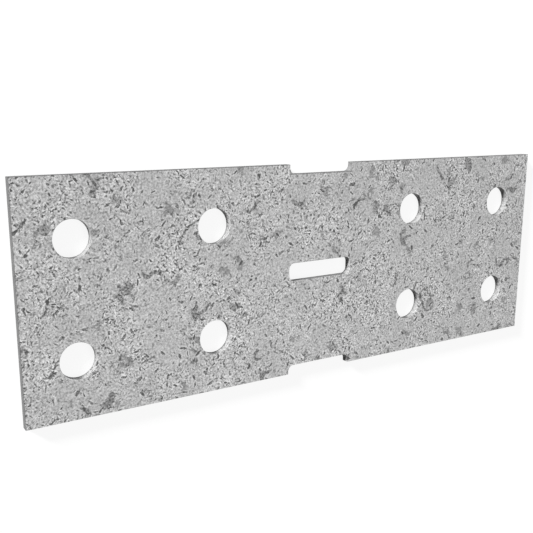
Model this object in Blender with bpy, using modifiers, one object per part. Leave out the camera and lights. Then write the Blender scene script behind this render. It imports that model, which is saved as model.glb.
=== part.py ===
"""Flat bracket plate of galvanised steel, with eight bolt holes.

The plate is one piece of steel strip, cropped to length, punched and then
dipped in zinc. It joins two rails end to end, with four bolts through each.
A slot in its middle and a notch in each long edge lie where the rails meet.
Slot and notches are punched with round-cornered bars. The bar for a notch
stands across the edge, so that half of its width bites into the plate.

The plate lies flat. The origin is at the middle of its lower face, +X runs
along its length, +Y across its width and +Z out of its upper face.
Lengths are in metres.
"""

from math import cos, pi, radians, sin

import bmesh
import bpy

# Strip
PLATE_LENGTH = 0.200
PLATE_WIDTH = 0.070
PLATE_THICKNESS = 0.0025

# Bolt holes, clear for M10
BOLT_HOLE_DIAMETER = 0.011
END_DISTANCE = 0.016
EDGE_DISTANCE = 0.0175
COLUMN_PITCH = 0.044

# Slot in the middle of the plate
SLOT_LENGTH = 0.025
SLOT_WIDTH = 0.006
SLOT_CORNER_RADIUS = 0.002

# Notch in the middle of each long edge
NOTCH_LENGTH = 0.025
NOTCH_DEPTH = 0.003
NOTCH_CORNER_RADIUS = 0.002

# Rounding of every edge under the zinc
EDGE_ROUNDING = 0.0001

# Fineness of the round stretches
HOLE_SIDES = 64
CORNER_STEPS = 8
ROUNDING_STEPS = 2

# How far a punch reaches past each face
PUNCH_OVERRUN = 0.002

WELD_DISTANCE = 0.00001
EDGE_ANGLE = radians(30)


def clear_scene():
    for old in list(bpy.data.objects):
        bpy.data.objects.remove(old, do_unlink=True)


def new_collection(name):
    collection = bpy.data.collections.new(name)
    bpy.context.scene.collection.children.link(collection)
    return collection


def galvanised_steel():
    material = bpy.data.materials.new("galvanised_steel")
    material.use_nodes = True
    zinc = material.node_tree.nodes["Principled BSDF"]
    zinc.inputs["Base Color"].default_value = (0.43, 0.43, 0.43, 1.0)
    zinc.inputs["Metallic"].default_value = 0.8
    zinc.inputs["Roughness"].default_value = 0.55
    return material


def rounded_rectangle(length, width, radius):
    """Points round a rectangle about the origin, with each corner an arc."""
    radius = min(radius, length / 2, width / 2)
    points = []
    for corner in range(4):
        start_angle = corner * pi / 2
        side_x = 1 if corner in (0, 3) else -1
        side_y = 1 if corner in (0, 1) else -1
        middle_x = side_x * (length / 2 - radius)
        middle_y = side_y * (width / 2 - radius)
        for step in range(CORNER_STEPS + 1):
            angle = start_angle + step / CORNER_STEPS * pi / 2
            points.append((middle_x + radius * cos(angle), middle_y + radius * sin(angle)))
    return points


def make_plate(collection):
    """The strip before it is punched: a box with its lower face at Z = 0."""
    mesh = bpy.data.meshes.new("bracket_plate")
    shape = bmesh.new()
    bmesh.ops.create_cube(shape, size=1.0)
    bmesh.ops.scale(shape, vec=(PLATE_LENGTH, PLATE_WIDTH, PLATE_THICKNESS), verts=shape.verts)
    bmesh.ops.translate(shape, vec=(0, 0, PLATE_THICKNESS / 2), verts=shape.verts)
    shape.to_mesh(mesh)
    shape.free()
    plate = bpy.data.objects.new("bracket_plate", mesh)
    plate.data.materials.append(galvanised_steel())
    collection.objects.link(plate)
    return plate


def make_round_punch(name, place, collection):
    """A cylinder that passes right through the plate at a bolt hole."""
    mesh = bpy.data.meshes.new(name)
    shape = bmesh.new()
    bmesh.ops.create_cone(
        shape,
        cap_ends=True,
        segments=HOLE_SIDES,
        radius1=BOLT_HOLE_DIAMETER / 2,
        radius2=BOLT_HOLE_DIAMETER / 2,
        depth=PLATE_THICKNESS + 2 * PUNCH_OVERRUN,
    )
    shape.to_mesh(mesh)
    shape.free()
    punch = bpy.data.objects.new(name, mesh)
    punch.location = (place[0], place[1], PLATE_THICKNESS / 2)
    collection.objects.link(punch)
    return punch


def make_oblong_punch(name, place, size, radius, collection):
    """A round-cornered bar that passes right through the plate."""
    outline = bpy.data.curves.new(name, "CURVE")
    outline.dimensions = "2D"
    outline.fill_mode = "BOTH"
    outline.extrude = PLATE_THICKNESS / 2 + PUNCH_OVERRUN
    points = rounded_rectangle(size[0], size[1], radius)
    spline = outline.splines.new("POLY")
    spline.points.add(len(points) - 1)
    for point, (x, y) in zip(spline.points, points):
        point.co = (x, y, 0, 1)
    spline.use_cyclic_u = True
    guide = bpy.data.objects.new(name + "_outline", outline)
    guide.location = (place[0], place[1], PLATE_THICKNESS / 2)
    collection.objects.link(guide)
    bpy.context.view_layer.update()

    depsgraph = bpy.context.evaluated_depsgraph_get()
    mesh = bpy.data.meshes.new_from_object(guide.evaluated_get(depsgraph))
    shape = bmesh.new()
    shape.from_mesh(mesh)
    bmesh.ops.remove_doubles(shape, verts=shape.verts, dist=WELD_DISTANCE)
    bmesh.ops.recalc_face_normals(shape, faces=shape.faces)
    shape.to_mesh(mesh)
    shape.free()
    punch = bpy.data.objects.new(name, mesh)
    punch.matrix_world = guide.matrix_world
    collection.objects.link(punch)
    bpy.data.objects.remove(guide, do_unlink=True)
    return punch


def bolt_hole_places():
    """Two rows of holes, with two columns at each end of the plate."""
    outer_column = PLATE_LENGTH / 2 - END_DISTANCE
    inner_column = outer_column - COLUMN_PITCH
    row = PLATE_WIDTH / 2 - EDGE_DISTANCE
    columns = (-outer_column, -inner_column, inner_column, outer_column)
    return [(x, y) for x in columns for y in (-row, row)]


def make_punches(collection):
    punches = []
    for number, place in enumerate(bolt_hole_places(), start=1):
        punches.append(make_round_punch(f"bolt_hole_{number}", place, collection))
    slot_size = (SLOT_LENGTH, SLOT_WIDTH)
    punches.append(make_oblong_punch("slot", (0, 0), slot_size, SLOT_CORNER_RADIUS, collection))
    notch_size = (NOTCH_LENGTH, 2 * NOTCH_DEPTH)
    for name, side in (("front_notch", -1), ("rear_notch", 1)):
        place = (0, side * PLATE_WIDTH / 2)
        punches.append(make_oblong_punch(name, place, notch_size, NOTCH_CORNER_RADIUS, collection))
    for punch in punches:
        punch.data.shade_smooth()
        punch.hide_render = True
        punch.display_type = "WIRE"
    return punches


def punch_plate(plate, punches):
    for punch in punches:
        cut = plate.modifiers.new(punch.name, "BOOLEAN")
        cut.operation = "DIFFERENCE"
        cut.solver = "EXACT"
        cut.object = punch


def round_edges(plate):
    """The zinc makes every edge a little round, also those of the holes."""
    plate.data.shade_smooth()
    rounding = plate.modifiers.new("edge_rounding", "BEVEL")
    rounding.width = EDGE_ROUNDING
    rounding.segments = ROUNDING_STEPS
    rounding.limit_method = "ANGLE"
    rounding.angle_limit = EDGE_ANGLE
    plate.modifiers.new("flat_faces_stay_flat", "WEIGHTED_NORMAL")


clear_scene()
parts = new_collection("bracket_plate")
cutters = new_collection("punches")
bracket_plate = make_plate(parts)
punch_plate(bracket_plate, make_punches(cutters))
round_edges(bracket_plate)
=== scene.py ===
"""Galvanised bracket plate, lying on a pale floor under soft studio light.

Lengths are in metres, and in millimetres inside the zinc's material. +X runs along the plate, +Y across it
and +Z out of its upper face. The plate's outline, holes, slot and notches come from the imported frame, and
this file gives them their zinc.
"""

from math import pi, radians

import bpy
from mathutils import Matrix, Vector


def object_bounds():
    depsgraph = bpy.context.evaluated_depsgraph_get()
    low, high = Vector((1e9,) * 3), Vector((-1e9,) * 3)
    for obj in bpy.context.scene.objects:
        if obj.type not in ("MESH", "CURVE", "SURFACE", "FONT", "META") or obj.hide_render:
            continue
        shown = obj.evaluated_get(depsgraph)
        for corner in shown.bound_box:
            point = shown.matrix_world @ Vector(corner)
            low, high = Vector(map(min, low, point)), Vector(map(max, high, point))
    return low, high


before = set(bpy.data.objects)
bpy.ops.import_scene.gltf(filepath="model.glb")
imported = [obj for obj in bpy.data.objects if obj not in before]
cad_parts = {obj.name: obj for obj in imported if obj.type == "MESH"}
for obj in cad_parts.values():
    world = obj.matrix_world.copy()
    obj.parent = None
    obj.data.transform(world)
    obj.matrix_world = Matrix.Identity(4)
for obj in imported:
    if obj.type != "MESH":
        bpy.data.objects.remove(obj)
cad_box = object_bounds()

# Bracket plate
# One piece of steel strip, cropped and punched, then hot-dipped. The zinc is a thin coat of matt light grey
# that follows every face and cut edge. It froze in fine grains, with darker flecks, scribbles and blotches
# where it took up iron from the steel.

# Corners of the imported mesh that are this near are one, and the deepest marks are about this deep, in metres.
WELD_DISTANCE = 0.000001
MARK_DEPTH = 0.00003

# The plate in millimetres, from the middle of its lower face. NOTCH_FLOOR is the floor of the rear notch.
MILLIMETRES = 1000
HALF_LENGTH = 100
HALF_WIDTH = 35
HALF_THICKNESS = 1.25
HALF_NOTCH = 12.5
NOTCH_FLOOR = 32

# How near to a wall counts as on it, in millimetres. The rounding of its edges is as wide.
ON_WALL = 0.1

# A flake with its pale rim is this much wider than the flake alone, in millimetres.
FLAKE_RIM = 0.7

# Grey of the bare zinc and of its darkest mark
ZINC_GREY = 0.453
DARKEST_GREY = 0.1

# Share of that grey that all cut edges lose, and the painted shade that the darkest walls lose besides
CUT_EDGE_LOSS = 0.38
PAINTED_SHADE_LOSS = 0.68

# How deep the painted shade is on other walls, next to the darkest
REAR_WALL_PAINTED_SHADE = 0.85
NOTCH_SIDE_PAINTED_SHADE = 0.5

# Metallic share, roughness and specular level of the bare zinc
ZINC_SHINE = 0.16
ZINC_ROUGHNESS = 0.5
ZINC_SPECULAR = 0.15

# Random colours lie round this one, each in a random direction from it.
MIDDLE_COLOUR = (0.5, 0.5, 0.5)


class Socket:
    """One output of a node. Maths on it adds Math nodes, and node() adds a node of any other kind."""

    def __init__(self, tree, output=None):
        self.tree = tree
        self.output = output

    def __getitem__(self, name):
        """Another output of the same node."""
        return Socket(self.tree, self.output.node.outputs[name])

    def node(self, kind, settings=None, inputs=None):
        """Adds a node, sets its settings, then its sockets' values or links. Gives its first output."""
        made = self.tree.nodes.new(kind)
        for name, value in (settings or {}).items():
            setattr(made, name, value)
        for name, value in (inputs or {}).items():
            if isinstance(value, Socket):
                self.tree.links.new(value.output, made.inputs[name])
            else:
                made.inputs[name].default_value = value
        return Socket(self.tree, made.outputs[0] if made.outputs else None)

    def maths(self, operation, other=0):
        return self.node("ShaderNodeMath", {"operation": operation}, {0: self, 1: other})

    def vectors(self, operation, other=(0, 0, 0)):
        return self.node("ShaderNodeVectorMath", {"operation": operation}, {0: self, 1: other})

    def scaled(self, size):
        """A vector made longer or shorter."""
        return self.node("ShaderNodeVectorMath", {"operation": "SCALE"}, {0: self, "Scale": size})

    def __add__(self, other):
        return self.maths("ADD", other)

    def __radd__(self, other):
        return self.maths("ADD", other)

    def __sub__(self, other):
        return self.maths("SUBTRACT", other)

    def __rsub__(self, other):
        return self.node("ShaderNodeMath", {"operation": "SUBTRACT"}, {0: other, 1: self})

    def __mul__(self, other):
        return self.maths("MULTIPLY", other)

    def __rmul__(self, other):
        return self.maths("MULTIPLY", other)

    def fade(self, start, end):
        """1 up to start and 0 from end on, or the other way round where end is the lower of the two."""
        low, high = sorted((start, end))
        at_low, at_high = (1, 0) if start < end else (0, 1)
        settings = {"interpolation_type": "SMOOTHSTEP"}
        inputs = {0: self, 1: low, 2: high, 3: at_low, 4: at_high}
        return self.node("ShaderNodeMapRange", settings, inputs)

    def below(self, limit):
        """1 where the value is below this limit and 0 elsewhere."""
        return self.fade(limit, limit + 0.001)


def noise_texture(place, size, seed, detail):
    """Blender's own noise, with features of about this size in millimetres. Each seed is another pattern."""
    moved = place.vectors("ADD", (seed * 17, seed * 29, seed * 7))
    inputs = {"Vector": moved, "Scale": 0.5 / size, "Detail": detail}
    return place.node("ShaderNodeTexNoise", None, inputs)


def noise(place, size, seed, detail=2):
    """Soft noise from about -1 to 1."""
    return (noise_texture(place, size, seed, detail) - 0.5) * 2


def wavy(place, size, amount, seed):
    """The same place moved to and fro by up to about half this amount, so that marks there turn out wavy."""
    sway = noise_texture(place, size, seed, detail=1)["Color"].vectors("SUBTRACT", MIDDLE_COLOUR)
    return place.vectors("ADD", sway.scaled(amount * 2))


def scatter(place, spacing, seed):
    """Random points about this far apart. Gives the offset from the nearest one, the way it faces and its
    three chances, which are numbers from 0 to 1."""
    moved = place.vectors("ADD", (seed * 37, seed * 11, seed * 23))
    point = place.node("ShaderNodeTexVoronoi", None, {"Vector": moved, "Scale": 1 / spacing})
    offset = moved.vectors("SUBTRACT", point["Position"])
    facing = point["Color"].vectors("SUBTRACT", MIDDLE_COLOUR).vectors("NORMALIZE")
    chances = place.node("ShaderNodeTexWhiteNoise", None, {"Vector": point["Color"]})["Color"]
    return offset, facing, place.node("ShaderNodeSeparateColor", None, {0: chances})


def oval(distance, depth, length, width):
    """1 inside a round flake of this size and 0 outside it."""
    reach = distance * distance * (2 / length) ** 2 + depth * depth * ((2 / width) ** 2 - (2 / length) ** 2)
    return reach.fade(0.35, 1.0)


def flakes(place, spacing, length, width, share, seed):
    """Thin round flakes that face every way, at this share of the points. The surface cuts them to strokes.
    Up to 1 inside, less than 0 on the rim round them and 0 outside."""
    offset, facing, chances = scatter(place, spacing, seed)

    # They are from 0.7 to 1.5 times this size, and from 0.55 to 1.25 times as strong.
    fineness = chances["Red"] * 0.8 + 0.65
    strength = (chances["Blue"] * 0.7 + 0.55) * chances["Green"].below(share)
    distance = offset.vectors("LENGTH")["Value"] * fineness
    depth = offset.vectors("DOT_PRODUCT", facing)["Value"] * fineness
    inside = oval(distance, depth, length, width)
    around = oval(distance, depth, length + FLAKE_RIM, width + FLAKE_RIM)
    return (inside * 1.3 - around * 0.3) * strength


def crystals(place, spacing, length, width, seed):
    """Fine grain in layers that lie one way inside each crystal, and another way in the next."""
    offset, facing, chances = scatter(place, spacing, seed)
    depth = offset.vectors("DOT_PRODUCT", facing)["Value"]
    layered = offset.scaled(0.5 / length).vectors("ADD", facing.scaled(depth * (0.5 / width - 0.5 / length)))

    # Each crystal reads its noise far from where the next one does.
    own_place = layered.vectors("ADD", facing.scaled(50))
    return (place.node("ShaderNodeTexNoise", None, {"Vector": own_place, "Scale": 1, "Detail": 1}) - 0.5) * 2


def blotches(place, spacing, radius, raggedness, share, seed):
    """Islands with a ragged rim round this share of the points. 1 inside and 0 outside. Half of them have a
    light middle, at less than 0."""
    offset, facing, chances = scatter(place, spacing, seed)
    ragged = noise(place, size=1.3, seed=seed + 1, detail=3) * raggedness
    reach = offset.vectors("LENGTH")["Value"] + ragged
    inside = (reach - radius).fade(-0.2, 0.2) * chances["Green"].below(share)
    middle = (reach - radius * 0.1).fade(-0.25, 0.15) * chances["Red"].below(0.5)
    return inside * (1 - middle * 1.3)


def cut_edges_and_painted_shade(place, normal):
    """1 on the cut edges and 0 on the faces, and how much painted shade each wall gets, from 0 to 1. The
    painted shade is darkest on the left end, the rear side and the floor of the rear notch. Other walls that
    face the rear come next, and then the sides of that notch."""
    position = place.node("ShaderNodeSeparateXYZ", None, {0: place})
    from_mid_thickness = (position["Z"] - HALF_THICKNESS).maths("ABSOLUTE")
    from_mid_length = position["X"].maths("ABSOLUTE")
    from_notch_floor = (position["Y"] - NOTCH_FLOOR).maths("ABSOLUTE")
    cut_edge = from_mid_thickness.fade(HALF_THICKNESS - 0.05, HALF_THICKNESS)

    left_end = position["X"].fade(ON_WALL - HALF_LENGTH, 2 * ON_WALL - HALF_LENGTH)
    rear_side = position["Y"].fade(HALF_WIDTH - ON_WALL, HALF_WIDTH - 2 * ON_WALL)
    along_notch = from_mid_length.fade(HALF_NOTCH - ON_WALL, HALF_NOTCH + ON_WALL)
    notch_floor = from_notch_floor.fade(ON_WALL, 2 * ON_WALL) * along_notch
    in_notch = position["Y"].fade(NOTCH_FLOOR + ON_WALL, NOTCH_FLOOR - ON_WALL)
    beside_notch = from_mid_length.fade(HALF_NOTCH + 0.4, HALF_NOTCH + 0.6)
    notch_side = in_notch * beside_notch * cut_edge * NOTCH_SIDE_PAINTED_SHADE
    facing = place.node("ShaderNodeSeparateXYZ", None, {0: normal})
    rear_wall = facing["Y"].fade(1.0, 0.95) * REAR_WALL_PAINTED_SHADE

    # Painted shade: these walls are darkened in colour, most of all the left end, the rear side and the rear
    # notch.
    painted_shade = left_end
    for wall in (rear_side, notch_floor, notch_side, rear_wall):
        painted_shade = painted_shade.maths("MAXIMUM", wall)
    return cut_edge, painted_shade


def zinc_material():
    material = bpy.data.materials.new("zinc")
    material.use_nodes = True
    tree = material.node_tree
    tree.nodes.clear()
    start = Socket(tree)
    coordinates = start.node("ShaderNodeTexCoord")
    place = coordinates["Object"].scaled(MILLIMETRES)
    bent = wavy(wavy(place, size=0.9, amount=0.3, seed=1), size=0.3, amount=0.25, seed=16)

    # The grain is strong in some areas and calm in others, on faint clouds of light and dark.
    clouds = noise(place, size=6, seed=24, detail=1)
    busy = noise(place, size=6, seed=2).fade(0.35, -0.35) * 0.75 + 0.3
    grain = crystals(bent, spacing=1.5, length=0.45, width=0.2, seed=3) * busy
    dust = noise(place, size=0.3, seed=4, detail=1) * (busy * 0.5 + 0.65)
    ripples = noise(bent, size=0.38, seed=21, detail=1) * busy
    light_strokes = flakes(bent, spacing=1.1, length=1.3, width=0.34, share=0.8, seed=5) * busy

    # Dark flecks where iron has reached the surface, from small strokes to spots. Some spots lie in rows,
    # along the lines where a soft noise crosses 0.
    short_strokes = flakes(bent, spacing=1.05, length=1.25, width=0.42, share=0.8, seed=6) * busy
    long_strokes = flakes(bent, spacing=1.4, length=1.65, width=0.48, share=0.75, seed=14) * busy
    strokes = short_strokes + long_strokes
    darts = flakes(bent, spacing=2.2, length=2.2, width=0.64, share=0.6, seed=7)
    row = noise(place, size=9, seed=22, detail=1)
    row = (row * row).fade(0.001, 0.004)
    lone_spots = flakes(bent, spacing=5, length=1.8, width=1.6, share=0.5, seed=8)
    row_spots = flakes(bent, spacing=1.9, length=1.7, width=1.5, share=0.9, seed=23) * row
    spots = lone_spots + row_spots

    # The largest marks are ragged islands, and scribbles, which are thin wavy lines inside rounder islands.
    islands = blotches(bent, spacing=8.5, radius=1.6, raggedness=4.5, share=0.75, seed=9)
    lines = noise(wavy(place, size=1.0, amount=0.6, seed=12), size=3.0, seed=11, detail=0)
    lines = (lines * lines).fade(0.004, 0.016)
    scribbles = lines * blotches(place, spacing=14, radius=3.6, raggedness=1.0, share=0.6, seed=13)

    # Cut edges are duller than the faces, and their grain is fainter. Painted shade darkens the left end and
    # rear walls.
    cut_edge, painted_shade = cut_edges_and_painted_shade(place, coordinates["Normal"])
    fine_marks = grain * 0.43 + dust * 0.38 + light_strokes * 0.06 - strokes * 0.31
    tone = ZINC_GREY + busy * 0.03 + clouds * 0.03 + fine_marks * (1 - islands * 0.4 - cut_edge * 0.4)
    tone = tone - darts * 0.3 - spots * 0.08 - islands * 0.18 - scribbles * 0.23
    tone = tone * (1 - cut_edge * CUT_EDGE_LOSS) * (1 - painted_shade * PAINTED_SHADE_LOSS)
    tone = tone.maths("MAXIMUM", DARKEST_GREY)
    colour = start.node("ShaderNodeCombineColor", None, {0: tone, 1: tone, 2: tone})

    # The flecks are shallow pits, rougher and less metallic than the zinc round them.
    pits = strokes * 0.4 + darts * 0.6 + scribbles * 0.5 + islands * 0.3
    relief = ripples * 0.7 + grain * 0.3 - pits
    bump = start.node("ShaderNodeBump", None, {"Height": relief, "Strength": 1, "Distance": MARK_DEPTH})
    shine = (ZINC_SHINE - pits * 0.08 - cut_edge * ZINC_SHINE).maths("MAXIMUM", 0)
    roughness = ZINC_ROUGHNESS + pits * 0.15 - grain * 0.1
    inputs = {"Base Color": colour, "Metallic": shine, "Roughness": roughness, "Normal": bump}
    inputs["Specular IOR Level"] = ZINC_SPECULAR
    surface = start.node("ShaderNodeBsdfPrincipled", None, inputs)
    start.node("ShaderNodeOutputMaterial", None, {"Surface": surface})
    return material


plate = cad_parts["bracket_plate"]
plate.material_slots[0].material = zinc_material()

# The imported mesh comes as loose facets, and this joins them at their corners.
weld = plate.modifiers.new("weld", "WELD")
weld.merge_threshold = WELD_DISTANCE

# Floor
# A plain matt floor that reaches past the view on every side. A glow that only the camera and reflections see
# makes it white, and the light that falls on it still draws the plate's shadow.

FLOOR_SIDE = 8.0
FLOOR_COLOUR = (0.18, 0.18, 0.18, 1)
FLOOR_GLOW = 0.88


def seen_directly(start):
    """1 for what the camera sees itself, or in metal or glass, and 0 for light on its way to other things."""
    path = start.node("ShaderNodeLightPath")
    return path["Is Camera Ray"] + path["Is Glossy Ray"] + path["Is Transmission Ray"]


def floor_material():
    material = bpy.data.materials.new("floor")
    material.use_nodes = True
    tree = material.node_tree
    tree.nodes.clear()
    start = Socket(tree)
    diffuse = start.node("ShaderNodeBsdfDiffuse", None, {"Color": FLOOR_COLOUR})
    glow = start.node("ShaderNodeEmission", None, {"Strength": seen_directly(start) * FLOOR_GLOW})
    both = start.node("ShaderNodeAddShader", None, {0: diffuse, 1: glow})
    start.node("ShaderNodeOutputMaterial", None, {"Surface": both})
    return material


bpy.ops.mesh.primitive_plane_add(size=FLOOR_SIDE, location=(0, 0, cad_box[0].z))
floor = bpy.context.object
floor.name = "floor"
floor.data.materials.append(floor_material())

# Light
# A low lamp stands beyond the plate's rear left corner, which is the upper left one in the photograph. A
# weaker one on the right keeps the face even, and a pale room fills in.

ROOM_COLOUR = (1, 1, 1, 1)
ROOM_LEVEL = 0.1


def lamp(name, towards, distance, side, level):
    """A square lamp that lights a matt white face turned to it as brightly as this level."""
    data = bpy.data.lights.new(name, "AREA")
    data.shape = "SQUARE"
    data.size = side
    data.energy = level * (pi * distance) ** 2
    made = bpy.data.objects.new(name, data)
    direction = Vector(towards).normalized()
    made.location = direction * distance
    made.rotation_euler = direction.to_track_quat("Z", "Y").to_euler()
    bpy.context.scene.collection.objects.link(made)


lamp("key_lamp", towards=(-0.749, 0.629, 0.208), distance=5, side=0.8, level=2.5)
lamp("fill_lamp", towards=(0.42, -0.25, 0.87), distance=2.4, side=1.5, level=0.27)

world = bpy.data.worlds.new("studio")
bpy.context.scene.world = world
world.use_nodes = True
world.node_tree.nodes.clear()
start = Socket(world.node_tree)
strength = seen_directly(start) * (1 - ROOM_LEVEL) + ROOM_LEVEL
background = start.node("ShaderNodeBackground", None, {"Color": ROOM_COLOUR, "Strength": strength})
start.node("ShaderNodeOutputWorld", None, {"Surface": background})

# Camera
# It looks down on the plate from beyond its left end, at the angle that the photograph has to the face. Its
# place, turn and lens bring the plate's outline to where the photograph has it, and the shift frames it.

CAMERA_PLACE = (-0.1460, 0.0514, 0.1999)
CAMERA_TURN = (radians(-12.69), radians(-31.42), 0)
LENS = 50.39
SHIFT_RIGHT = 0.0205
SHIFT_UP = 0.0243
NEAREST_IN_VIEW = 0.01

camera_data = bpy.data.cameras.new("camera")
camera_data.lens = LENS
camera_data.shift_x = SHIFT_RIGHT
camera_data.shift_y = SHIFT_UP
camera_data.clip_start = NEAREST_IN_VIEW
camera = bpy.data.objects.new("camera", camera_data)
camera.location = CAMERA_PLACE
camera.rotation_euler = CAMERA_TURN
bpy.context.scene.collection.objects.link(camera)
bpy.context.scene.camera = camera

bpy.context.scene.view_settings.view_transform = "Standard"
